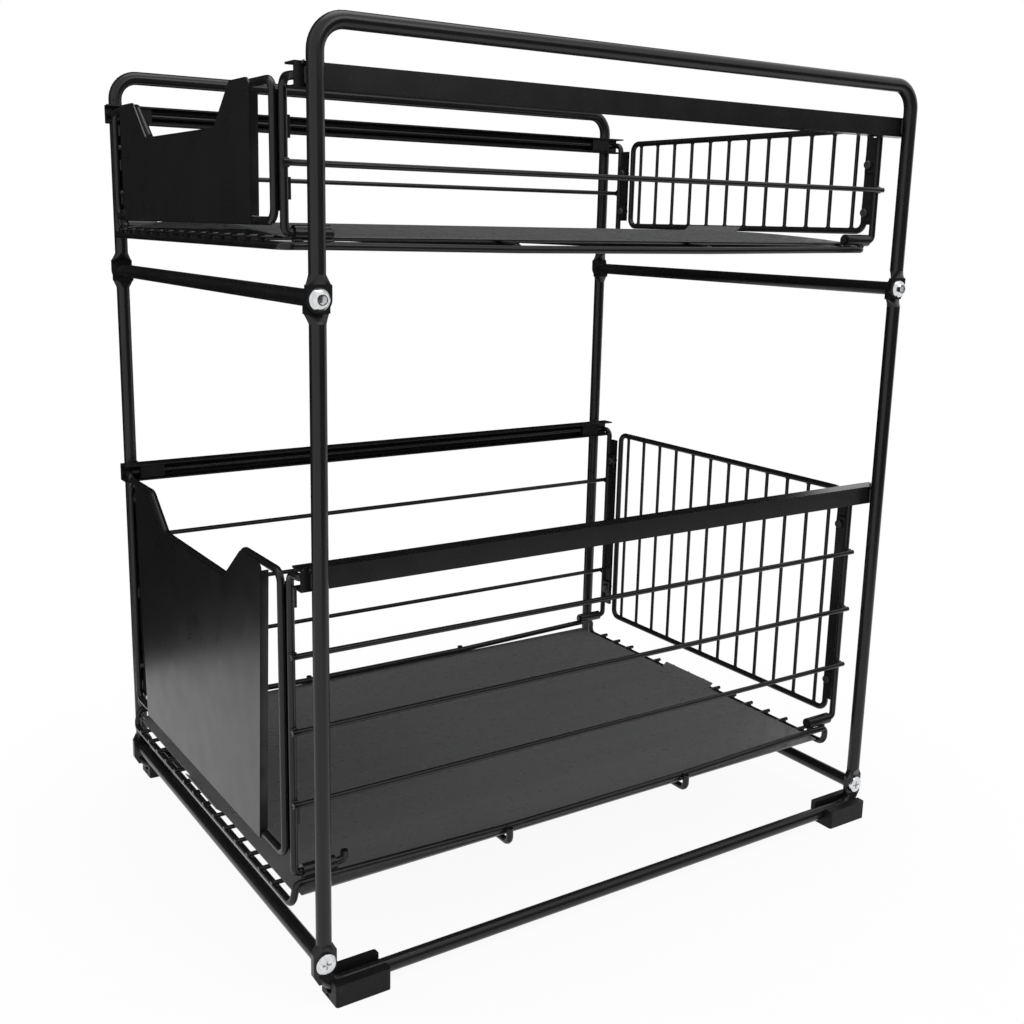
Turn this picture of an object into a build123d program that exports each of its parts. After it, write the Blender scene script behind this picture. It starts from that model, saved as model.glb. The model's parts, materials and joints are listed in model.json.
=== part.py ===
from build123d import *
import os

# Pull out cabinet basket: a steel tube stand with two wire baskets that slide forward in
# channel rails. Millimetres. +Z is up, the fronts of the baskets face -Y, and the origin
# is on the ground under the middle of the whole.

# the stand's middle lies this far behind the origin, because the baskets reach further forward
CENTRE_Y = 2.0

# stand
TUBE = 8.0
TUBE_BORE = 6.0
LEG_X = 148.4
LEG_Y = 195.0
SIDE_BAR_Z = 7.4
BOTTOM_CROSS_Z = 21.3
MID_Z = 351.6
TOP_Z = 471.2
TOP_BEND = 14.0
FOOT_BEND = 9.5

# pressed flats in the tube, for the bolts and screws
FLAT_WIDTH = 12.8
TONGUE = 2.2
TONGUE_STRAIGHT = 6.5
TONGUE_TAPER = 4.5
SCREW_FLAT = 3.2
SCREW_FLAT_HALF = 6.0
SCREW_FLAT_TAPER = 5.5
SPREAD_NECK = 3.4
BOLT_HOLE = 6.3

# fasteners of the stand
BOLT_HEAD = 10.5
BOLT_HEAD_HIGH = 3.3
BOLT_RIM = 0.6
BOLT_CROWN = (4.1, 2.4)
BOLT_TOP = 2.6
BOLT_SOCKET = 2.0
BOLT_NECK = 6.0
BOLT_CORE = 4.9
BOLT_REACH = 15.0
HEX_KEY = 4.0
INSERT_BORE = 5.0
INSERT_LONG = 16.0
SCREW_HEAD = 11.0
SCREW_HEAD_HIGH = 2.0
SCREW_RECESS = 1.2
SCREW_SLOT_LONG = 5.0
SCREW_SLOT_WIDE = 1.1
SCREW_CHAMFER = 0.7

# feet
FOOT_IN_X = 140.0
FOOT_OUT_X = 158.5
FOOT_INSIDE_Z = 12.9
FOOT_OUTSIDE_Z = 12.0
FOOT_FRONT_Y = (-193.0, -162.0)
FOOT_REAR_Y = (165.0, 197.0)
FOOT_GAP = 0.15
FOOT_ROUND = 1.5
FOOT_MARK_HALF = 2.6
FOOT_MARK_Z = (1.0, 2.8)

# rails
RAIL_WEB_X = 144.35
RAIL_DEPTH = 10.0
RAIL_HEIGHT = 11.0
RAIL_SHEET = 1.0
RAIL_Y = (-203.0, 203.0)
LOWER_RAIL_Z = 220.3
UPPER_RAIL_Z = 447.8

# wires of the baskets
HEAVY = 4.0
SIDE_WIRE = 3.0
THIN = 2.5
UPRIGHT = 2.4
WELD = 0.3
TOUCH = 0.05

# plan of both baskets: posts, runners and side wires
POST_X = 127.0
FRONT_POST_Y = -201.0
REAR_POST_Y = 195.0
POST_BEND = 3.0
RUNNER_X = 139.4
RUNNER_BEND = 5.0
SIDE_WIRE_Y = (-202.6, 197.6)

# glides on the runners, inside the rails
GLIDE_X = (136.0, 142.8)
GLIDE_HALF_HEIGHT = 4.15
GLIDE_BORE = 4.1
GLIDE_Y = ((-192.0, -176.0), (174.0, 190.0))

# trays
RIM_X = 130.0
CROSS_WIRE_Y = (-203.6, 185.0)
RIM_CORNER_Y = (-201.4, 185.6)
RIM_BEND = 3.5
RIM_LOW_BEND = 5.0
RIM_SAG_BEND = 150.0
BEARER_Y = (-74.0, 57.0)
BEARER_HOOK_X = 134.1
BEARER_BEND = 4.0
BEARER_HOOK_RISE = 1.5
GRID_PITCH = 17.0
GRID_WIRES = 14
GRID_Y = (-207.0, 187.6)
SLEEVE = 7.2
SLEEVE_BORE = 4.2
SLEEVE_FRONT_Y = (-196.8, -178.5)
SLEEVE_REAR_Y = (170.5, 190.5)
POST_END = 1.5
LINER_REAR_Y = 175.8
LINER_CORNER_X = 125.5
LINER_CORNER_Y = -199.0
LINER_SHEET = 0.8
LINER_TAB = 26.0
LINER_TAB_RISE = 3.0
LINER_TAB_LONG = 4.0

# fronts and backs
LOOP_X = 121.5
LOOP_FRONT_Y = -203.4
LOOP_BENDS = [9.0, 7.0, 6.0, 6.0]
BACK_X = 116.5
BACK_Y = 199.0
BACK_BEND = 6.0
UPRIGHT_PITCH = 19.4
UPRIGHTS = 12
PANEL_SHEET = 0.85
PANEL_FLANGE = 4.5

# strips, ears and screws at the corners
STRIP = 2.0
FRONT_STRIP_X = (114.0, 124.2)
REAR_STRIP_X = (118.6, 124.4)
FRONT_SCREW_X = 117.3
REAR_SCREW_X = 121.6
EAR = 1.8
EAR_HALF = 5.0
EAR_ROOT_X = 124.7
FRONT_EAR_X = 113.8
REAR_EAR_X = 118.8
FRONT_EAR_Y = -199.3
REAR_EAR_Y = 193.1
CORNER_SCREW = 3.0
CORNER_SCREW_LONG = 5.5
CORNER_SCREW_HEAD = 5.2
CORNER_SCREW_HEAD_HIGH = 2.0
CORNER_SCREW_ROUND = 0.8
SCREW_PLAY = 0.3

# each basket: heights, the half widths of its liner, and the half outline of its front panel
LOWER = {
    "name": "lower_basket",
    "rail_z": LOWER_RAIL_Z,
    "rim_z": 56.5,
    "rim_sag": 3.0,
    "cross_z": 45.7,
    "sleeve_z": 61.35,
    "hooked": True,
    "stub": 5.0,
    "liner_x": 131.0,
    "liner_front_y": -201.3,
    "liner_bow": 0.0,
    "liner_notched": True,
    "side_wires_z": (100.0, 138.9, 178.2),
    "loop_bottom_z": 69.5,
    "loop_top_z": 219.4,
    "notch_z": 199.0,
    "notch_foot_x": 50.0,
    "notch_top_x": 76.0,
    "panel_bottom_z": 67.4,
    "panel_bottom_x": 94.5,
    "panel_top_x": 103.0,
    "panel_top_z": 219.8,
    "back_bottom_z": 62.5,
    "back_top_z": 218.0,
    "front_screws_z": (93.0, 207.0),
    "rear_screws_z": (87.0, 196.0),
    "strips_z": (72.5, 213.0),
}
UPPER = {
    "name": "upper_basket",
    "rail_z": UPPER_RAIL_Z,
    "rim_z": 374.6,
    "rim_sag": 1.0,
    "cross_z": 374.6,
    "sleeve_z": 380.3,
    "hooked": False,
    "stub": 0.0,
    "liner_x": 122.8,
    "liner_front_y": -199.0,
    "liner_bow": 5.3,
    "liner_notched": False,
    "side_wires_z": (411.2,),
    "loop_bottom_z": 385.4,
    "loop_top_z": 447.5,
    "notch_z": 428.6,
    "notch_foot_x": 53.0,
    "notch_top_x": 76.0,
    "panel_bottom_z": 383.9,
    "panel_bottom_x": 99.5,
    "panel_top_x": 101.0,
    "panel_top_z": 450.0,
    "back_bottom_z": 386.0,
    "back_top_z": 448.6,
    "front_screws_z": (400.0, 427.0),
    "rear_screws_z": (397.3, 426.5),
    "strips_z": (390.0, 443.0),
}

os.makedirs("parts", exist_ok=True)


def save(shape, name):
    """Write one node, moved from the stand's middle to the origin of the whole."""
    export_step(Pos(0, CENTRE_Y, 0) * shape, "parts/" + name + ".step")


def both_sides(right, name):
    """Write a right-hand piece, at +X, and its mirror image."""
    save(right, name + "_right")
    save(mirror(right, about=Plane.YZ), name + "_left")


def rod(points, diameter, bend=None):
    """A round bar along a route of straight runs with rounded corners."""
    if len(points) == 2:
        path = Line(*points)
    else:
        path = FilletPolyline(*points, radius=bend)
    start = Plane(origin=path @ 0, z_dir=path % 0)
    return sweep(start * Circle(diameter / 2), path=path)


def along_x(x, y, z, diameter, length):
    """A round bar along X, from x towards +X."""
    return Plane(origin=(x, y, z), z_dir=(1, 0, 0)) * extrude(Circle(diameter / 2), length)


def along_y(x, y, z, diameter, length):
    """A round bar along Y, from y towards +Y."""
    return Plane(origin=(x, y, z), z_dir=(0, 1, 0)) * extrude(Circle(diameter / 2), length)


def block(low, high):
    """A box from its lowest to its highest corner."""
    size = [b - a for a, b in zip(low, high)]
    return Pos(*low) * Box(*size, align=(Align.MIN, Align.MIN, Align.MIN))


def pressed_section(width, thick):
    """A tube's oval outline, pressed to a width along Y and a thickness along X."""
    return Rot(0, 0, 90) * Ellipse(width / 2, thick / 2)


def tongue(y, direction, outside):
    """The end of a leg, pressed to a flat tongue round the bolt.

    It starts on the bolt's axis, ends where the tube is round again, and lies outside or
    inside the middle plane of the leg.
    """
    offset = TONGUE / 2 if outside else -TONGUE / 2
    foot = Plane(origin=(LEG_X + offset, y, MID_Z + direction * TONGUE_STRAIGHT))
    neck_z = MID_Z + direction * (TONGUE_STRAIGHT + TONGUE_TAPER)
    neck = Plane(origin=(LEG_X, y, neck_z))
    round_section = Rot(0, 0, 90) * Circle(TUBE / 2)
    taper = loft([foot * pressed_section(FLAT_WIDTH - 0.2, TONGUE - 0.1), neck * round_section])
    low = min(MID_Z, MID_Z + direction * TONGUE_STRAIGHT)
    x_low = LEG_X + offset - TONGUE / 2
    half = FLAT_WIDTH / 2
    plate = block((x_low, y - half, low), (x_low + TONGUE, y + half, low + TONGUE_STRAIGHT))
    end = along_x(x_low, y, MID_Z, FLAT_WIDTH, TONGUE)
    hole = along_x(x_low - 1, y, MID_Z, BOLT_HOLE, TONGUE + 2)
    return plate + end + taper - hole


def screw_flat(tube, y):
    """Press a tube flat at the bottom cross bar, and spread it to the sides."""
    low = BOTTOM_CROSS_Z - SCREW_FLAT_HALF
    high = BOTTOM_CROSS_Z + SCREW_FLAT_HALF
    half = SCREW_FLAT / 2
    reach = TUBE
    for side in (-1, 1):
        die = make_face(Polyline(
            (LEG_X + side * half, low),
            (LEG_X + side * TUBE / 2, low - SCREW_FLAT_TAPER),
            (LEG_X + side * reach, low - SCREW_FLAT_TAPER),
            (LEG_X + side * reach, high + SCREW_FLAT_TAPER),
            (LEG_X + side * TUBE / 2, high + SCREW_FLAT_TAPER),
            (LEG_X + side * half, high),
            close=True,
        ))
        tube -= Pos(0, y, 0) * extrude(Plane.XZ * die, FLAT_WIDTH, both=True)
    spread = make_face(Polyline(
        (y - FLAT_WIDTH / 2, low),
        (y - FLAT_WIDTH / 2, high),
        (y - SPREAD_NECK, high + SCREW_FLAT_TAPER),
        (y + SPREAD_NECK, high + SCREW_FLAT_TAPER),
        (y + FLAT_WIDTH / 2, high),
        (y + FLAT_WIDTH / 2, low),
        (y + SPREAD_NECK, low - SCREW_FLAT_TAPER),
        (y - SPREAD_NECK, low - SCREW_FLAT_TAPER),
        close=True,
    ))
    plate = Pos(LEG_X, 0, 0) * extrude(Plane.YZ * spread, half, both=True)
    return tube + plate


def side_route(neck, bar_z):
    """The centre line of a side's tube: up or down a leg, along the bar, and back."""
    return [
        (LEG_X, -LEG_Y, neck),
        (LEG_X, -LEG_Y, bar_z),
        (LEG_X, LEG_Y, bar_z),
        (LEG_X, LEG_Y, neck),
    ]


def upper_side_frame():
    """The upper frame of one side: two legs and the top bar, bent from one tube."""
    neck = MID_Z + TONGUE_STRAIGHT + TONGUE_TAPER
    tube = rod(side_route(neck, TOP_Z), TUBE, TOP_BEND)
    for y in (-LEG_Y, LEG_Y):
        tube += tongue(y, 1, outside=True)
    return tube


def lower_side_frame():
    """The lower frame of one side: two legs and the side bar, bent from one tube."""
    neck = MID_Z - TONGUE_STRAIGHT - TONGUE_TAPER
    tube = rod(side_route(neck, SIDE_BAR_Z), TUBE, FOOT_BEND)
    for y in (-LEG_Y, LEG_Y):
        tube = screw_flat(tube, y)
        tube += tongue(y, -1, outside=False)
    return tube


def cross_bar(y, z, half_length):
    """A straight tube across the stand."""
    bar = along_x(-half_length, y, z, TUBE, 2 * half_length)
    return bar - along_x(-half_length - 1, y, z, TUBE_BORE, 2 * half_length + 2)


def threaded_inserts(y_list, z, half_length):
    """The threaded sleeves in the ends of the cross bars."""
    sleeves = []
    for y in y_list:
        sleeve = along_x(half_length - INSERT_LONG - 0.2, y, z, TUBE_BORE - 0.04, INSERT_LONG)
        sleeve -= along_x(half_length - INSERT_LONG - 1, y, z, INSERT_BORE, INSERT_LONG + 2)
        sleeves += [sleeve, mirror(sleeve, about=Plane.YZ)]
    return sleeves


def button_bolt(y):
    """A button head bolt through both tongues, into the end of the middle cross bar."""
    seat = LEG_X + TONGUE
    head = Plane(origin=(seat + TOUCH, y, MID_Z), z_dir=(1, 0, 0)) * revolve(
        Plane.XZ * make_face([
            Line((0, 0), (BOLT_HEAD / 2, 0)),
            Line((BOLT_HEAD / 2, 0), (BOLT_HEAD / 2, BOLT_RIM)),
            ThreePointArc((BOLT_HEAD / 2, BOLT_RIM), BOLT_CROWN, (BOLT_TOP, BOLT_HEAD_HIGH)),
            Line((BOLT_TOP, BOLT_HEAD_HIGH), (0, BOLT_HEAD_HIGH)),
            Line((0, BOLT_HEAD_HIGH), (0, 0)),
        ]),
        Axis.Z,
    )
    socket = Plane(origin=(seat + BOLT_HEAD_HIGH, y, MID_Z), z_dir=(1, 0, 0)) * extrude(
        RegularPolygon(HEX_KEY / 2, 6, major_radius=False), BOLT_SOCKET, both=True)
    tongues_in = LEG_X - TONGUE
    neck = along_x(tongues_in, y, MID_Z, BOLT_NECK, seat + 0.5 - tongues_in)
    core = along_x(seat - BOLT_REACH, y, MID_Z, BOLT_CORE, BOLT_REACH)
    return head + neck + core - socket


def flat_screw(y):
    """A flat, low screw with a cross recess, into the end of the bottom cross bar."""
    seat = LEG_X + SCREW_FLAT / 2 + TOUCH
    head = along_x(seat, y, BOTTOM_CROSS_Z, SCREW_HEAD, SCREW_HEAD_HIGH)
    head = chamfer(head.edges().group_by(Axis.X)[-1], SCREW_CHAMFER)
    top = seat + SCREW_HEAD_HIGH
    for turn in (0, 90):
        slot = Rot(turn, 0, 0) * Box(2 * SCREW_RECESS, SCREW_SLOT_LONG, SCREW_SLOT_WIDE)
        head -= Pos(top, y, BOTTOM_CROSS_Z) * slot
    return head


def foot(y_range, end_y):
    """A moulded foot that holds the side bar in a channel which is open at the top."""
    low, high = y_range
    body = block((FOOT_IN_X, low, 0), (FOOT_OUT_X, high, FOOT_OUTSIDE_Z))
    inner = block((FOOT_IN_X, low, 0), (LEG_X, high, FOOT_INSIDE_Z))
    body = body + inner
    body = fillet(body.edges().filter_by(Axis.Z), FOOT_ROUND)
    channel = TUBE / 2 + FOOT_GAP
    body -= along_y(LEG_X, low - 1, SIDE_BAR_Z, 2 * channel, high - low + 2)
    top = FOOT_INSIDE_Z + 1
    body -= block((LEG_X - channel, low - 1, SIDE_BAR_Z), (LEG_X + channel, high + 1, top))
    recess = make_face(Polyline(
        (LEG_X - FOOT_MARK_HALF, FOOT_MARK_Z[0]),
        (LEG_X + FOOT_MARK_HALF, FOOT_MARK_Z[0]),
        (LEG_X, FOOT_MARK_Z[1]),
        close=True,
    ))
    return body - Pos(0, end_y, 0) * extrude(Plane.XZ * recess, 2.0, both=True)


def rail(z):
    """A channel rail, open towards the baskets, on the inside of the legs."""
    low, high = RAIL_Y
    half = RAIL_HEIGHT / 2
    mouth = RAIL_WEB_X - RAIL_DEPTH
    outside = block((mouth, low, z - half), (RAIL_WEB_X, high, z + half))
    hollow = block(
        (mouth - 1, low - 1, z - half + RAIL_SHEET),
        (RAIL_WEB_X - RAIL_SHEET, high + 1, z + half - RAIL_SHEET),
    )
    return outside - hollow


def stand():
    """Everything that stands still."""
    both_sides(upper_side_frame(), "upper_side_frame")
    both_sides(lower_side_frame(), "lower_side_frame")
    both_sides(rail(UPPER_RAIL_Z), "upper_rail")
    both_sides(rail(LOWER_RAIL_Z), "lower_rail")
    mid_half = LEG_X - TONGUE - TOUCH
    low_half = LEG_X - SCREW_FLAT / 2 - TOUCH
    for end, y in (("front", -LEG_Y), ("rear", LEG_Y)):
        save(cross_bar(y, MID_Z, mid_half), "middle_cross_bar_" + end)
        save(cross_bar(y, BOTTOM_CROSS_Z, low_half), "bottom_cross_bar_" + end)
    inserts = threaded_inserts((-LEG_Y, LEG_Y), MID_Z, mid_half)
    save(Compound(inserts), "threaded_inserts")
    bolts = []
    screws = []
    for y in (-LEG_Y, LEG_Y):
        bolt = button_bolt(y)
        screw = flat_screw(y)
        bolts += [bolt, mirror(bolt, about=Plane.YZ)]
        screws += [screw, mirror(screw, about=Plane.YZ)]
    save(Compound(bolts), "middle_bolts")
    save(Compound(screws), "bottom_screws")
    both_sides(foot(FOOT_FRONT_Y, FOOT_FRONT_Y[0]), "front_foot")
    both_sides(foot(FOOT_REAR_Y, FOOT_REAR_Y[1]), "rear_foot")


def side_frame(b):
    """One side of a basket: two posts joined by the runner, with an ear for each corner screw.

    The runner leaves the top of the posts outwards and lies in the rail. The posts bend
    towards each other at the bottom, where they end in the sleeves on the tray's rim.
    """
    top = b["rail_z"]
    bottom = b["sleeve_z"]
    front_end = SLEEVE_FRONT_Y[1] + POST_END
    route = [
        (POST_X, front_end, bottom),
        (POST_X, FRONT_POST_Y, bottom),
        (POST_X, FRONT_POST_Y, top),
        (RUNNER_X, FRONT_POST_Y, top),
        (RUNNER_X, REAR_POST_Y, top),
        (POST_X, REAR_POST_Y, top),
        (POST_X, REAR_POST_Y, bottom),
        (POST_X, SLEEVE_REAR_Y[0] - POST_END, bottom),
    ]
    bends = [POST_BEND] + 4 * [RUNNER_BEND] + [POST_BEND]
    if b["stub"] > 0:
        front_end += HEAVY
        route[0] = (POST_X, front_end, bottom)
        route.insert(0, (POST_X, front_end, bottom + b["stub"]))
        bends.insert(0, POST_BEND)
    frame = rod(route, HEAVY, bends)
    for z in b["front_screws_z"]:
        low = z - EAR_HALF
        high = z + EAR_HALF
        back = FRONT_EAR_Y + EAR
        frame += block((FRONT_EAR_X, FRONT_EAR_Y, low), (POST_X, back, high))
        frame += block((EAR_ROOT_X, FRONT_POST_Y, low), (POST_X, back, high))
        frame -= along_y(FRONT_SCREW_X, FRONT_EAR_Y - 1, z, CORNER_SCREW + SCREW_PLAY, EAR + 2)
    for z in b["rear_screws_z"]:
        ear = block((REAR_EAR_X, REAR_EAR_Y, z - EAR_HALF), (POST_X, REAR_EAR_Y + EAR, z + EAR_HALF))
        frame += ear
        frame -= along_y(REAR_SCREW_X, REAR_EAR_Y - 1, z, CORNER_SCREW + SCREW_PLAY, EAR + 2)
    return frame


def side_wires(b):
    """The straight wires along both sides, on the outside of the posts."""
    x = POST_X + HEAVY / 2 + SIDE_WIRE / 2 + TOUCH
    low, high = SIDE_WIRE_Y
    wires = []
    for side in (-1, 1):
        for z in b["side_wires_z"]:
            wires.append(along_y(side * x, low, z, SIDE_WIRE, high - low))
    return Compound(wires)


def glides(b):
    """The plastic glides clipped on the runners, two in each rail."""
    z = b["rail_z"]
    x_low, x_high = GLIDE_X
    half = GLIDE_HALF_HEIGHT
    blocks = []
    for low, high in GLIDE_Y:
        glide = block((x_low, low, z - half), (x_high, high, z + half))
        glide -= along_y(RUNNER_X, low - 1, z, GLIDE_BORE, high - low + 2)
        blocks += [glide, mirror(glide, about=Plane.YZ)]
    return Compound(blocks)


def sleeves(b):
    """The short sleeves welded on the rim, which take the posts."""
    tubes = []
    for low, high in (SLEEVE_FRONT_Y, SLEEVE_REAR_Y):
        for side in (-1, 1):
            tube = along_y(side * POST_X, low, b["sleeve_z"], SLEEVE, high - low)
            bore = along_y(side * POST_X, low - 1, b["sleeve_z"], SLEEVE_BORE, high - low + 2)
            tubes.append(tube - bore)
    return Compound(tubes)


def tray_rim(b):
    """The rim of the tray: two sides that sag a little, and a cross wire at each end.

    Where the cross wires lie lower than the sides, the rim bends down to them.
    """
    rim = b["rim_z"]
    low = b["cross_z"]
    sag = rim - b["rim_sag"]
    front, rear = CROSS_WIRE_Y
    sides = [
        (RIM_X, SLEEVE_FRONT_Y[1], rim),
        (RIM_X, BEARER_Y[0], sag),
        (RIM_X, BEARER_Y[1], sag),
        (RIM_X, SLEEVE_REAR_Y[0], rim),
    ]
    bends = 4 * [RIM_SAG_BEND]
    if low < rim:
        sides = [(RIM_X, RIM_CORNER_Y[0], rim)] + sides + [(RIM_X, RIM_CORNER_Y[1], rim)]
        bends = [RIM_BEND] + bends + [RIM_BEND]
    route = [(0, front, low), (RIM_X, front, low)] + sides + [(RIM_X, rear, low), (0, rear, low)]
    half = rod(route, HEAVY, [RIM_LOW_BEND] + bends + [RIM_LOW_BEND])
    return half + mirror(half, about=Plane.YZ)


def bearer(b, y):
    """One wire across under the thin wires; its ends hook up round the rim, or butt on it."""
    z = b["cross_z"] + WELD
    if not b["hooked"]:
        inside = RIM_X - HEAVY / 2 - TOUCH
        return along_x(-inside, y, z, HEAVY, 2 * inside)
    x = BEARER_HOOK_X
    hook = b["rim_z"] - b["rim_sag"] + BEARER_HOOK_RISE
    return rod([(-x, y, hook), (-x, y, z), (x, y, z), (x, y, hook)], HEAVY, BEARER_BEND)


def tray_grid(b):
    """The thin wires along the tray, welded on two bearers."""
    thin_z = b["cross_z"] + HEAVY / 2 + THIN / 2 + TOUCH
    wires = []
    for i in range(GRID_WIRES):
        x = (i - (GRID_WIRES - 1) / 2) * GRID_PITCH
        wires.append(along_y(x, GRID_Y[0], thin_z, THIN, GRID_Y[1] - GRID_Y[0]))
    first = bearer(b, BEARER_Y[0])
    return first.fuse(bearer(b, BEARER_Y[1]), *wires)


def liner(b):
    """The thin sheet on the wires, with a raised tab at its ends.

    The lower one is flat, and leaves out the front corners, where the rim rises. The upper
    one is bowed up in the middle, rests on the outermost wires and has its tab at the rear.
    """
    z = b["cross_z"] + HEAVY / 2 + THIN + 2 * TOUCH
    half = b["liner_x"]
    low = b["liner_front_y"]
    high = LINER_REAR_Y
    bow = b["liner_bow"]
    outer_wire = GRID_PITCH * (GRID_WIRES - 1) / 2
    crown = z + bow * (outer_wire / half) ** 2
    tabs = [(low, -1), (high, 1)]
    if bow > 0:
        edge = crown - bow
        top = edge + LINER_SHEET
        section = make_face([
            ThreePointArc((-half, edge), (0, crown), (half, edge)),
            Line((half, edge), (half, top)),
            ThreePointArc((half, top), (0, crown + LINER_SHEET), (-half, top)),
            Line((-half, top), (-half, edge)),
        ])
        sheet = Pos(0, low, 0) * extrude(Plane.XZ * section, low - high)
        tabs = tabs[1:]
    else:
        sheet = block((-half, low, z), (half, high, z + LINER_SHEET))
    if b["liner_notched"]:
        corner = block((LINER_CORNER_X, low, z), (half, LINER_CORNER_Y, z + LINER_SHEET))
        sheet -= corner
        sheet -= mirror(corner, about=Plane.YZ)
    for y, end in tabs:
        outline = make_face(Polyline(
            (y, crown),
            (y + end * LINER_TAB_LONG, crown + LINER_TAB_RISE),
            (y + end * LINER_TAB_LONG, crown + LINER_TAB_RISE + LINER_SHEET),
            (y, crown + LINER_SHEET),
            close=True,
        ))
        sheet += extrude(Plane.YZ * outline, LINER_TAB, both=True)
    return sheet


def front_loop(b):
    """The wire round the front, with the dip for a hand in its top."""
    y = LOOP_FRONT_Y
    wire_notch = b["notch_z"] - 0.4
    route = [
        (0, y, wire_notch),
        (b["notch_foot_x"], y, wire_notch),
        (b["notch_top_x"], y, b["loop_top_z"]),
        (LOOP_X, y, b["loop_top_z"]),
        (LOOP_X, y, b["loop_bottom_z"]),
        (0, y, b["loop_bottom_z"]),
    ]
    half = rod(route, HEAVY, LOOP_BENDS)
    return half + mirror(half, about=Plane.YZ)


def back_frame(b):
    """The wire round the back, filled with thin uprights."""
    bottom = b["back_bottom_z"]
    top = b["back_top_z"]
    corners = [(0, BACK_Y, top), (BACK_X, BACK_Y, top), (BACK_X, BACK_Y, bottom), (0, BACK_Y, bottom)]
    half = rod(corners, HEAVY, BACK_BEND)
    uprights = []
    for i in range(UPRIGHTS):
        x = (i - (UPRIGHTS - 1) / 2) * UPRIGHT_PITCH
        uprights.append(rod([(x, BACK_Y, bottom), (x, BACK_Y, top)], UPRIGHT))
    return half.fuse(mirror(half, about=Plane.YZ), *uprights)


def corner_strips(b, x_range, y_low, screw_x, screws_z):
    """The flat strips beside the front or back wire, drilled for the corner screws."""
    low, high = b["strips_z"]
    x_low, x_high = x_range
    strip = block((x_low, y_low, low), (x_high, y_low + STRIP - TOUCH, high))
    for z in screws_z:
        strip -= along_y(screw_x, y_low - 1, z, CORNER_SCREW + SCREW_PLAY, STRIP + 2)
    return Compound([strip, mirror(strip, about=Plane.YZ)])


def corner_screw(x, y, z, way):
    """A small round head screw, whose head lies at y and points forward or back."""
    axis = Plane(origin=(x, y, z), z_dir=(0, way, 0))
    cap = axis * extrude(Circle(CORNER_SCREW_HEAD / 2), CORNER_SCREW_HEAD_HIGH)
    cap = fillet(cap.edges().sort_by(Axis.Y)[-1 if way > 0 else 0], CORNER_SCREW_ROUND)
    shank = extrude(Circle(CORNER_SCREW / 2), CORNER_SCREW_LONG + 0.5)
    return cap + axis * Pos(0, 0, -CORNER_SCREW_LONG) * shank


def corner_screws(b):
    """The small screws that hold the front and the back to the posts."""
    right = []
    for z in b["front_screws_z"]:
        right.append(corner_screw(FRONT_SCREW_X, FRONT_EAR_Y + EAR + TOUCH, z, 1))
    for z in b["rear_screws_z"]:
        right.append(corner_screw(REAR_SCREW_X, REAR_EAR_Y - TOUCH, z, -1))
    left = [mirror(screw, about=Plane.YZ) for screw in right]
    return Compound(right + left)


def front_panel(b):
    """The sheet on the front wire, with its side edges folded back."""
    front = LOOP_FRONT_Y - HEAVY / 2 - TOUCH - PANEL_SHEET
    outline = FilletPolyline(
        (b["panel_bottom_x"], b["panel_bottom_z"]),
        (b["panel_top_x"], b["panel_top_z"]),
        (b["notch_top_x"], b["panel_top_z"]),
        (b["notch_foot_x"], b["notch_z"]),
        (-b["notch_foot_x"], b["notch_z"]),
        (-b["notch_top_x"], b["panel_top_z"]),
        (-b["panel_top_x"], b["panel_top_z"]),
        (-b["panel_bottom_x"], b["panel_bottom_z"]),
        radius=[5.0, 5.0, 7.0, 7.0, 5.0, 5.0],
    )
    face = make_face([outline, Line(outline @ 1, outline @ 0)])
    sheet = Pos(0, front, 0) * extrude(Plane.XZ * face, -PANEL_SHEET)
    low_z = b["loop_bottom_z"] + HEAVY / 2 + TOUCH
    high_z = b["loop_top_z"] - HEAVY
    slope = (b["panel_top_x"] - b["panel_bottom_x"]) / (b["panel_top_z"] - b["panel_bottom_z"])
    low_x = b["panel_bottom_x"] + slope * (low_z - b["panel_bottom_z"])
    high_x = b["panel_bottom_x"] + slope * (high_z - b["panel_bottom_z"])
    edge = make_face(Polyline(
        (low_x, low_z),
        (high_x, high_z),
        (high_x - PANEL_SHEET, high_z),
        (low_x - PANEL_SHEET, low_z),
        close=True,
    ))
    flange = Pos(0, front, 0) * extrude(Plane.XZ * edge, -PANEL_FLANGE)
    return sheet + flange + mirror(flange, about=Plane.YZ)


def basket(b):
    """One basket, as its separate pieces."""
    name = b["name"]
    both_sides(side_frame(b), name + "_side_frame")
    save(side_wires(b), name + "_side_wires")
    save(glides(b), name + "_glides")
    save(sleeves(b), name + "_sleeves")
    save(tray_rim(b), name + "_tray_rim")
    save(tray_grid(b), name + "_tray_grid")
    save(liner(b), name + "_liner")
    save(front_loop(b), name + "_front_loop")
    save(front_panel(b), name + "_front_panel")
    save(back_frame(b), name + "_back_frame")
    front_strip_y = LOOP_FRONT_Y + HEAVY / 2 + TOUCH
    rear_strip_y = BACK_Y - HEAVY / 2 - STRIP
    front = corner_strips(b, FRONT_STRIP_X, front_strip_y, FRONT_SCREW_X, b["front_screws_z"])
    rear = corner_strips(b, REAR_STRIP_X, rear_strip_y, REAR_SCREW_X, b["rear_screws_z"])
    save(front, name + "_front_strips")
    save(rear, name + "_rear_strips")
    save(corner_screws(b), name + "_corner_screws")


stand()
basket(LOWER)
basket(UPPER)
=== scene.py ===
import json
import math
import bpy
import numpy as np
from mathutils import Matrix, Vector


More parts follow.
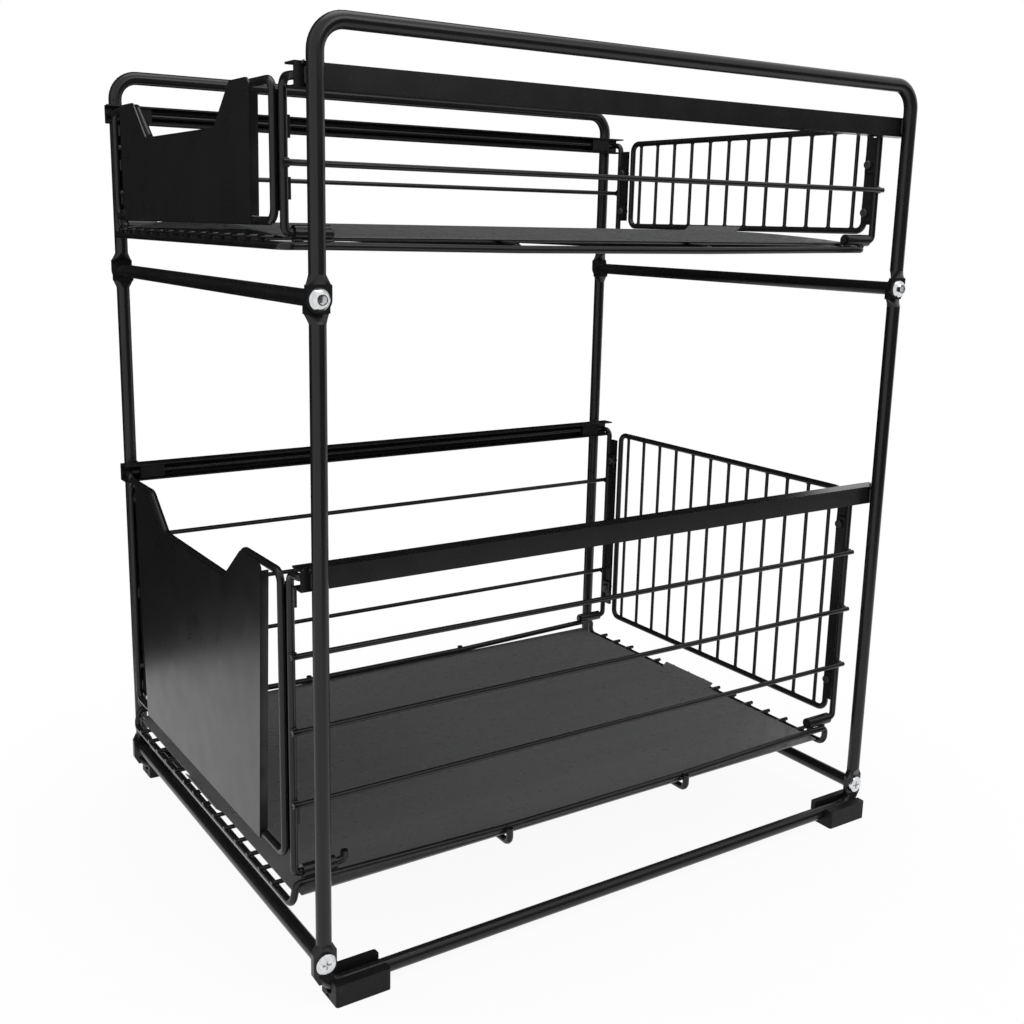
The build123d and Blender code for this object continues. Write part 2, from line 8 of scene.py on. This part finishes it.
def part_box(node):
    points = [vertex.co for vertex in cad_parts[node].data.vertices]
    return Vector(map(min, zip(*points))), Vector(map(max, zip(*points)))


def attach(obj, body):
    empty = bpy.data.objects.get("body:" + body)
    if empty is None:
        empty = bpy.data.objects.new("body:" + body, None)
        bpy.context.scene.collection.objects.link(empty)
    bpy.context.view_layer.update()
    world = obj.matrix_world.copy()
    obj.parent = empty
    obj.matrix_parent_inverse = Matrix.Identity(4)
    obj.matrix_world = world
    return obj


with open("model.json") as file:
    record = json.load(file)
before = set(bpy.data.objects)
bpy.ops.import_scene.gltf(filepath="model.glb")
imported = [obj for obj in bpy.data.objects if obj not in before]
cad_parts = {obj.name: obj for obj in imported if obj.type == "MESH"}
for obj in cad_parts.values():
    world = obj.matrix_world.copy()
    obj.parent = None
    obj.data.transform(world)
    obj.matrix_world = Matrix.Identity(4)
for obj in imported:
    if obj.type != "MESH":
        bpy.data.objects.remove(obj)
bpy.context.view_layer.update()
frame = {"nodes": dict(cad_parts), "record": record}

# the stand's middle lies this far behind the origin, and its legs this far from the middle
CENTRE_Y = 0.002
LEG_X = 0.1484
LEG_Y = 0.195

# where the wires of both baskets cross, from the stand's middle and from the ground
POST_X = 0.127
POST_Y = (-0.201, 0.195)
RIM_X = 0.130
CROSS_WIRE_Y = (-0.2036, 0.185)
BEARER_Y = (-0.074, 0.057)
HOOK_X = 0.1341
GRID_X = [(i - 6.5) * 0.017 for i in range(14)]
UPRIGHT_X = [(i - 5.5) * 0.0194 for i in range(12)]
BACK_Y = 0.199
LOOP_X = 0.1215
LOOP_Y = -0.2034
SLEEVE_ENDS_Y = ((-0.1955, -0.180), (0.172, 0.183))
TIERS = {
    "lower_basket": {
        "side_wires": (0.1000, 0.1389, 0.1782),
        "rim": 0.0565,
        "low_rim": 0.0535,
        "cross": 0.0457,
        "sleeve": 0.06135,
        "back": (0.0625, 0.218),
        "strips": (0.0725, 0.213),
    },
    "upper_basket": {
        "side_wires": (0.4112,),
        "rim": 0.3746,
        "low_rim": 0.3736,
        "cross": 0.3746,
        "sleeve": 0.3803,
        "back": (0.386, 0.4486),
        "strips": (0.390, 0.443),
    },
}

# viewpoint: where it stands, its turn and dip, its roll, and its lens on a 36 mm frame
CAMERA_AT = (0.64958, -0.42696 + CENTRE_Y, 0.38691)
CAMERA_AZIMUTH = math.radians(56.732)
CAMERA_ELEVATION = math.radians(11.956)
CAMERA_ROLL = math.radians(1.181)
SENSOR = 36.0
LENS = 42.65
SHIFT_X = 0.01655
SHIFT_Y = -0.03215

# weld beads, each a length and a radius
RAIL_BEAD = (0.0092, 0.0012)
SIDE_WIRE_BEAD = (0.0046, 0.0009)
SLEEVE_BEAD = (0.0060, 0.0012)
STRIP_BEAD = (0.0080, 0.0008)
GRID_BEAD = (0.0042, 0.0009)
UPRIGHT_BEAD = (0.0040, 0.0010)
HOOK_BEAD = (0.0045, 0.0009)
BEARER_BEAD = (0.0050, 0.0010)
SLEEVE_RADIUS = 0.0036
WIRE_RADIUS = 0.0020

# studio: the floor is plain white from SHADOW_REACH on, and most of it nearer
FLOOR_HALF = 4.0
FLOOR_COLOR = (0.86, 0.86, 0.86, 1.0)
WHITE = (1.0, 1.0, 1.0, 1.0)
SHADOW_START = 0.24
SHADOW_REACH = 0.45
WHITE_NEARBY = 0.93
WORLD_LIGHT = 0.7

# dark boards, upright and parallel to the sides: where they stand, from and to along Y, height
FLAGS = {
    "flag_left": (-0.35, -1.6, 0.7, 1.3),
    "flag_right": (0.72, -0.25, 1.6, 0.6),
}

# soft lamps: where they hang, the height that they aim at, size and watts
SOFTBOXES = {
    "softbox_left": ((-0.9, -1.5, 1.1), 0.25, (0.9, 1.2), 9.0),
    "softbox_right": ((1.7, 0.5, 1.0), 0.25, (0.8, 1.2), 7.0),
    "softbox_top": ((0.1, 0.1, 1.8), 0.2, (1.2, 1.2), 9.0),
}


# ---------------------------------------------------------------- materials

class Nodes:
    """A material's node tree, with short calls to add and join nodes."""

    def __init__(self, name):
        self.material = bpy.data.materials.new(name)
        self.material.use_nodes = True
        self.tree = self.material.node_tree
        self.tree.nodes.clear()
        self.out = self.tree.nodes.new("ShaderNodeOutputMaterial")
        self.coords = self.tree.nodes.new("ShaderNodeTexCoord").outputs["Object"]

    def add(self, kind, **settings):
        """A node of one kind; settings name its properties, or its input sockets."""
        node = self.tree.nodes.new("ShaderNode" + kind)
        for key, value in settings.items():
            if hasattr(node, key):
                setattr(node, key, value)
            else:
                node.inputs[key.replace("_", " ")].default_value = value
        return node

    def join(self, source, target):
        self.tree.links.new(source, target)

    def noise(self, scale, detail=3.0, roughness=0.5):
        """Soft random relief; scale is in features per metre."""
        node = self.add("TexNoise", Scale=scale, Detail=detail, Roughness=roughness)
        self.join(self.coords, node.inputs["Vector"])
        return node.outputs["Fac"]

    def cells(self, scale):
        """The distance to scattered points, scale of them per metre."""
        node = self.add("TexVoronoi", Scale=scale)
        self.join(self.coords, node.inputs["Vector"])
        return node.outputs["Distance"]

    def band(self, value, low, high, out_low, out_high):
        """Turns the range low..high of a value into out_low..out_high, and stops there."""
        node = self.add("MapRange")
        self.join(value, node.inputs["Value"])
        numbers = {"From Min": low, "From Max": high, "To Min": out_low, "To Max": out_high}
        for socket, number in numbers.items():
            node.inputs[socket].default_value = number
        return node.outputs["Result"]

    def spread(self, value, out_low, out_high):
        """Turns the usual range of a noise into out_low..out_high."""
        return self.band(value, 0.3, 0.7, out_low, out_high)

    def blend(self, factor, first, second):
        """A colour between two colours."""
        node = self.add("Mix", data_type="RGBA")
        self.join(factor, node.inputs["Factor"])
        for socket, value in ((node.inputs[6], first), (node.inputs[7], second)):
            if isinstance(value, tuple):
                socket.default_value = value + (1.0,)
            else:
                self.join(value, socket)
        return node.outputs[2]

    def relief(self, height, depth, strength, below=None):
        """A bump of a real depth in metres, on top of the one below."""
        node = self.add("Bump", Strength=strength, Distance=depth)
        self.join(height, node.inputs["Height"])
        if below is not None:
            self.join(below, node.inputs["Normal"])
        return node.outputs["Normal"]

    def surface(self, color, roughness, normal, **constants):
        """The shader: colour, roughness and normal are linked, the rest are constants."""
        shader = self.add("BsdfPrincipled")
        for key, value in constants.items():
            shader.inputs[key.replace("_", " ")].default_value = value
        self.join(color, shader.inputs["Base Color"])
        self.join(roughness, shader.inputs["Roughness"])
        self.join(normal, shader.inputs["Normal"])
        self.join(shader.outputs["BSDF"], self.out.inputs["Surface"])
        return self.material


def powder_coat(name, dark, light, rough, peel, specular):
    """Baked powder coat: a fine pebbled skin over long soft waves, with a few dull specks."""
    m = Nodes(name)
    waves = m.noise(scale=150.0, detail=2.0)
    grain = m.noise(scale=1900.0, detail=2.0, roughness=0.6)
    specks = m.band(m.cells(scale=420.0), 0.02, 0.07, 0.6, 0.0)
    tone = m.blend(m.band(m.noise(scale=24.0), 0.35, 0.68, 0.0, 1.0), dark, light)
    color = m.blend(specks, tone, tuple(1.6 * c for c in light))
    roughness = m.spread(m.noise(scale=60.0), rough - 0.02, rough + 0.03)
    normal = m.relief(waves, depth=0.00006, strength=peel)
    normal = m.relief(grain, depth=0.00002, strength=peel, below=normal)
    return m.surface(color, roughness, normal, Specular_IOR_Level=specular)


def liner_sheet():
    """Dark grey sheet with a fine leathery press and faint streaks along its length."""
    m = Nodes("liner_grey_sheet")
    stretch = m.add("Mapping")
    stretch.inputs["Scale"].default_value = (30.0, 2.2, 30.0)
    m.join(m.coords, stretch.inputs["Vector"])
    streak = m.add("TexNoise", Scale=3.0, Detail=4.0)
    m.join(stretch.outputs["Vector"], streak.inputs["Vector"])
    streaks = m.spread(streak.outputs["Fac"], 0.0, 1.0)
    tone = m.blend(streaks, (0.108, 0.109, 0.111), (0.117, 0.118, 0.120))
    specks = m.band(m.cells(scale=300.0), 0.02, 0.06, 0.10, 0.0)
    color = m.blend(specks, tone, (0.17, 0.17, 0.173))
    roughness = m.spread(m.noise(scale=120.0), 0.26, 0.31)
    normal = m.relief(m.cells(scale=1500.0), depth=0.00002, strength=0.06)
    fine = m.noise(scale=2600.0, detail=2.0)
    normal = m.relief(fine, depth=0.00002, strength=0.10, below=normal)
    return m.surface(color, roughness, normal, Specular_IOR_Level=0.70)


def foot_plastic():
    """Black moulded plastic with a spark eroded grain and paler rubbed patches."""
    m = Nodes("foot_black_plastic")
    grain = m.noise(scale=2300.0, roughness=0.7)
    patches = m.noise(scale=160.0, detail=5.0, roughness=0.65)
    rub = m.band(patches, 0.56, 0.76, 0.0, 1.0)
    color = m.blend(rub, (0.008, 0.008, 0.0085), (0.015, 0.015, 0.0155))
    roughness = m.spread(m.noise(scale=300.0), 0.42, 0.55)
    normal = m.relief(grain, depth=0.00006, strength=0.3)
    return m.surface(color, roughness, normal, Specular_IOR_Level=0.16)


def zinc_plate():
    """Bright zinc plate with fine marks and a faint cloudy patina."""
    m = Nodes("zinc_plate")
    cloud = m.spread(m.noise(scale=500.0, detail=4.0), 0.0, 1.0)
    color = m.blend(cloud, (0.60, 0.61, 0.63), (0.80, 0.81, 0.82))
    roughness = m.spread(m.noise(scale=900.0), 0.14, 0.26)
    normal = m.relief(m.noise(scale=3500.0, detail=2.0), depth=0.00003, strength=0.25)
    return m.surface(color, roughness, normal, Metallic=1.0)


# each black coat: its dark and light tone, roughness, strength of its relief, and sheen
COATS = {
    "stand_black_coat": ((0.0070, 0.0070, 0.0075), (0.0090, 0.0090, 0.0095), 0.26, 0.15, 0.34),
    "basket_black_coat": ((0.0070, 0.0070, 0.0075), (0.0090, 0.0090, 0.0095), 0.24, 0.15, 0.34),
    "panel_black_coat": ((0.0080, 0.0080, 0.0085), (0.0100, 0.0100, 0.0105), 0.29, 0.10, 0.40),
    "black_screws": ((0.012, 0.012, 0.013), (0.03, 0.03, 0.032), 0.24, 0.3, 0.5),
}


def finish_nodes():
    """Gives each CAD node the material of its slot."""
    finishes = {slot: powder_coat(slot, *values) for slot, values in COATS.items()}
    finishes["liner_grey"] = liner_sheet()
    finishes["foot_plastic"] = foot_plastic()
    finishes["zinc"] = zinc_plate()
    for part in frame["record"]["subparts"]:
        mesh = frame["nodes"][part["node"]].data
        mesh.materials.clear()
        mesh.materials.append(finishes[part["material_slot"]])
    return finishes


# ---------------------------------------------------------------- welds

BEAD_RINGS = 9
BEAD_SIDES = 12


def bead(rng, at, along, length, radius):
    """The points and faces of one weld bead.

    A bead is a rounded bar: its radius swells as the square root of a half circle along its
    length, with ripples that run as sines, and both ends close in one point.
    """
    u = np.linspace(0.0, 1.0, BEAD_RINGS)[1:-1]
    v = np.linspace(0.0, 2.0 * np.pi, BEAD_SIDES, endpoint=False)
    phase = rng.uniform(0.0, 2.0 * np.pi, 3)
    swell = np.sqrt(np.sqrt(1.0 - (2.0 * u - 1.0) ** 2))
    ripple = 1.0 + 0.10 * np.sin(14.0 * u[:, None] + phase[0]) + 0.08 * np.sin(3.0 * v + phase[1])
    r = radius * swell[:, None] * ripple
    along = np.array(along, float) / np.linalg.norm(along)
    side = np.cross(along, (0.37, 0.51, 0.78))
    side /= np.linalg.norm(side)
    third = np.cross(along, side)
    at = np.array(at, float)
    middle = at + np.outer((u - 0.5) * length, along)
    ring = r[..., None] * (np.cos(v)[:, None] * side + np.sin(v)[:, None] * third)
    points = (middle[:, None, :] + ring).reshape(-1, 3)
    points = np.vstack((points, at - 0.5 * length * along, at + 0.5 * length * along))
    rings = len(u)
    i, j = np.meshgrid(np.arange(rings - 1), np.arange(BEAD_SIDES), indexing="ij")
    k = (j + 1) % BEAD_SIDES
    n = BEAD_SIDES
    quads = np.stack((i * n + j, i * n + k, (i + 1) * n + k, (i + 1) * n + j), -1).reshape(-1, 4)
    first, last = len(points) - 2, len(points) - 1
    around = np.arange(n)
    after = (around + 1) % n
    caps = [(first, b, a) for a, b in zip(around.tolist(), after.tolist())]
    base = (rings - 1) * n
    caps += [(last, base + a, base + b) for a, b in zip(around.tolist(), after.tolist())]
    return points, [tuple(q) for q in quads.tolist()] + caps


def mesh_piece(name, body, points, faces, material, smooth=True):
    """A new piece of the object, from its points and faces."""
    mesh = bpy.data.meshes.new(name)
    mesh.from_pydata([tuple(p) for p in points], [], faces)
    mesh.polygons.foreach_set("use_smooth", np.full(len(mesh.polygons), smooth))
    mesh.update()
    mesh.materials.append(material)
    obj = bpy.data.objects.new(name, mesh)
    bpy.context.scene.collection.objects.link(obj)
    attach(obj, body)
    return obj


def weld_beads(name, body, places, material, seed):
    """Many beads in one piece; a place is (middle, direction, length, radius)."""
    rng = np.random.default_rng(seed)
    points, faces = [], []
    count = 0
    for at, along, length, radius in places:
        p, f = bead(rng, at, along, length, radius)
        points.append(p)
        faces += [tuple(i + count for i in face) for face in f]
        count += len(p)
    return mesh_piece(name, body, np.vstack(points), faces, material)


def middle_of(node):
    """The middle of a CAD node's box."""
    low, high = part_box(node)
    return [(a + b) / 2 for a, b in zip(low, high)]


def rail_welds(material):
    """Upright beads on both sides of each leg, where the rails' webs touch it, with drops."""
    rng = np.random.default_rng(3)
    places = []
    for side, sign in (("left", -1), ("right", 1)):
        leg_x = sign * LEG_X
        for rail in ("upper_rail_", "lower_rail_"):
            z = middle_of(rail + side)[2]
            for leg_y in (CENTRE_Y - LEG_Y, CENTRE_Y + LEG_Y):
                for way in (-1, 1):
                    at = (leg_x - sign * 0.0032, leg_y + way * 0.0026, z)
                    places.append((at, (0, 0, 1), *RAIL_BEAD))
                behind = (leg_x - sign * 0.0036, leg_y, z + 0.0045)
                places += spatter(rng, behind, (0.0004, 0.0022, 0.0014), 7)
    weld_beads("rail_weld_beads", "stand", places, material, 5)


def spatter(rng, at, spread, count):
    """Small round drops strewn about a point."""
    drops = []
    for _ in range(count):
        place = np.array(at) + rng.normal(0.0, 1.0, 3) * spread
        size = rng.uniform(0.0004, 0.0009)
        drops.append((place, rng.normal(0.0, 1.0, 3), 2.2 * size, size))
    return drops


def side_welds(tier):
    """Beads above and below each side wire at the posts, and under the sleeves on the rim."""
    places = []
    for sign in (-1, 1):
        for z in tier["side_wires"]:
            for y in POST_Y:
                for up in (-1, 1):
                    at = (sign * (POST_X + 0.0021), y + CENTRE_Y, z + up * 0.0013)
                    places.append((at, (0, 1, 0), *SIDE_WIRE_BEAD))
        between = (tier["sleeve"] - SLEEVE_RADIUS + tier["rim"] + WIRE_RADIUS) / 2
        for ends in SLEEVE_ENDS_Y:
            for y in ends:
                at = (sign * (POST_X + 0.0019), y + CENTRE_Y, between)
                places.append((at, (0, 1, 0), *SLEEVE_BEAD))
        for z in np.linspace(tier["strips"][0] + 0.006, tier["strips"][1] - 0.006, 3):
            at = (sign * (LOOP_X - 0.0016), LOOP_Y + CENTRE_Y + WIRE_RADIUS, z)
            places.append((at, (0, 0, 1), *STRIP_BEAD))
    return places


def wire_welds(tier, hooked):
    """Beads where the thin wires cross the heavier ones, and where the hooks meet the rim."""
    places = []
    for y in CROSS_WIRE_Y:
        for x in GRID_X:
            at = (x, y + CENTRE_Y, tier["cross"] + WIRE_RADIUS)
            places.append((at, (1, 0, 0), *GRID_BEAD))
    for x in UPRIGHT_X:
        low, high = tier["back"]
        for z, way in ((low, 1), (high, -1)):
            at = (x, BACK_Y + CENTRE_Y, z + way * 0.0019)
            places.append((at, (1, 0, 0), *UPRIGHT_BEAD))
    for sign in (-1, 1):
        for y in BEARER_Y:
            if hooked:
                at = (sign * (HOOK_X - 0.0021), y + CENTRE_Y, tier["low_rim"] + 0.0003)
                places.append((at, (0, 0, 1), *HOOK_BEAD))
            else:
                at = (sign * (RIM_X - WIRE_RADIUS), y + CENTRE_Y, tier["low_rim"] + 0.0016)
                places.append((at, (0, 1, 0), *BEARER_BEAD))
    return places


def basket_welds(material):
    """The weld beads of both baskets."""
    for seed, (name, tier) in enumerate(TIERS.items()):
        hooked = name == "lower_basket"
        places = side_welds(tier) + wire_welds(tier, hooked)
        weld_beads(name + "_weld_beads", name, places, material, 20 + seed)


# ---------------------------------------------------------------- studio

def studio_floor():
    """A pale floor that keeps the shadow near the object and turns to plain white further out."""
    mesh = bpy.data.meshes.new("studio_floor")
    h = FLOOR_HALF
    mesh.from_pydata([(-h, -h, 0), (h, -h, 0), (h, h, 0), (-h, h, 0)], [], [(0, 1, 2, 3)])
    floor = bpy.data.objects.new("studio_floor", mesh)
    bpy.context.scene.collection.objects.link(floor)
    m = Nodes("studio_floor")
    length = m.add("VectorMath", operation="LENGTH")
    m.join(m.coords, length.inputs[0])
    plain = m.band(length.outputs["Value"], SHADOW_START, SHADOW_REACH, WHITE_NEARBY, 1.0)
    path = m.add("LightPath")
    seen = m.add("Math", operation="MAXIMUM")
    m.join(path.outputs["Is Camera Ray"], seen.inputs[0])
    m.join(path.outputs["Is Glossy Ray"], seen.inputs[1])
    share = m.add("Math", operation="MULTIPLY")
    m.join(plain, share.inputs[0])
    m.join(seen.outputs[0], share.inputs[1])
    matt = m.add("BsdfDiffuse", Color=FLOOR_COLOR)
    white = m.add("Emission", Color=WHITE, Strength=1.0)
    mix = m.add("MixShader")
    m.join(share.outputs[0], mix.inputs[0])
    m.join(matt.outputs[0], mix.inputs[1])
    m.join(white.outputs[0], mix.inputs[2])
    m.join(mix.outputs[0], m.out.inputs["Surface"])
    mesh.materials.append(m.material)


def studio_world():
    """White all round for the eye and for reflections, a little less as light."""
    world = bpy.data.worlds.new("studio_world")
    bpy.context.scene.world = world
    world.use_nodes = True
    tree = world.node_tree
    tree.nodes.clear()
    out = tree.nodes.new("ShaderNodeOutputWorld")
    path = tree.nodes.new("ShaderNodeLightPath")
    seen = tree.nodes.new("ShaderNodeMath")
    seen.operation = "MAXIMUM"
    tree.links.new(path.outputs["Is Camera Ray"], seen.inputs[0])
    tree.links.new(path.outputs["Is Glossy Ray"], seen.inputs[1])
    light = tree.nodes.new("ShaderNodeBackground")
    light.inputs["Color"].default_value = WHITE
    light.inputs["Strength"].default_value = WORLD_LIGHT
    white = tree.nodes.new("ShaderNodeBackground")
    white.inputs["Color"].default_value = WHITE
    white.inputs["Strength"].default_value = 1.0
    mix = tree.nodes.new("ShaderNodeMixShader")
    tree.links.new(seen.outputs[0], mix.inputs[0])
    tree.links.new(light.outputs[0], mix.inputs[1])
    tree.links.new(white.outputs[0], mix.inputs[2])
    tree.links.new(mix.outputs[0], out.inputs["Surface"])


def softbox(name, at, aim, size, watts):
    """A square soft lamp that faces a point."""
    lamp = bpy.data.lights.new(name, "AREA")
    lamp.shape = "RECTANGLE"
    lamp.size, lamp.size_y = size
    lamp.energy = watts
    obj = bpy.data.objects.new(name, lamp)
    obj.location = at
    obj.rotation_euler = (Vector(aim) - Vector(at)).to_track_quat("-Z", "Y").to_euler()
    bpy.context.scene.collection.objects.link(obj)


def dark_flag(name, x, near, far, high):
    """A matt black board beside the set, which only reflections see."""
    mesh = bpy.data.meshes.new(name)
    corners = [(x, near, 0), (x, far, 0), (x, far, high), (x, near, high)]
    mesh.from_pydata(corners, [], [(0, 1, 2, 3)])
    board = bpy.data.objects.new(name, mesh)
    bpy.context.scene.collection.objects.link(board)
    board.visible_camera = False
    board.visible_diffuse = False
    board.visible_transmission = False
    board.visible_shadow = False
    m = Nodes(name)
    weave = m.band(m.noise(40.0, 3.0), 0.3, 0.7, 0.0, 1.0)
    color = m.blend(weave, (0.006, 0.006, 0.006), (0.012, 0.012, 0.012))
    matt = m.add("BsdfDiffuse")
    m.join(color, matt.inputs["Color"])
    m.join(matt.outputs[0], m.out.inputs["Surface"])
    mesh.materials.append(m.material)


def studio_flags():
    """A dark board to the left of the set, and one to the right behind the viewpoint."""
    for name, place in FLAGS.items():
        dark_flag(name, *place)


def studio_lights():
    """Soft lamps from the left, from the right and from above."""
    for name, (at, aim_height, size, watts) in SOFTBOXES.items():
        softbox(name, at, (0, 0, aim_height), size, watts)


def camera():
    """The viewpoint, from its turn, dip and roll."""
    a, e, r = CAMERA_AZIMUTH, CAMERA_ELEVATION, CAMERA_ROLL
    right = Vector((math.cos(a), math.sin(a), 0))
    back = Vector((math.sin(a) * math.cos(e), -math.cos(a) * math.cos(e), math.sin(e)))
    up = back.cross(right)
    rolled_right = math.cos(r) * right + math.sin(r) * up
    rolled_up = math.cos(r) * up - math.sin(r) * right
    data = bpy.data.cameras.new("camera")
    data.sensor_width = SENSOR
    data.lens = LENS
    data.shift_x = SHIFT_X
    data.shift_y = SHIFT_Y
    data.clip_start = 0.01
    obj = bpy.data.objects.new("camera", data)
    turn = Matrix((rolled_right, rolled_up, back)).transposed().to_4x4()
    obj.matrix_world = Matrix.Translation(CAMERA_AT) @ turn
    bpy.context.scene.collection.objects.link(obj)
    bpy.context.scene.camera = obj


bpy.context.scene.view_settings.view_transform = "Standard"
camera()
studio_world()
studio_floor()
studio_lights()
studio_flags()
finishes = finish_nodes()
rail_welds(finishes["stand_black_coat"])
basket_welds(finishes["basket_black_coat"])
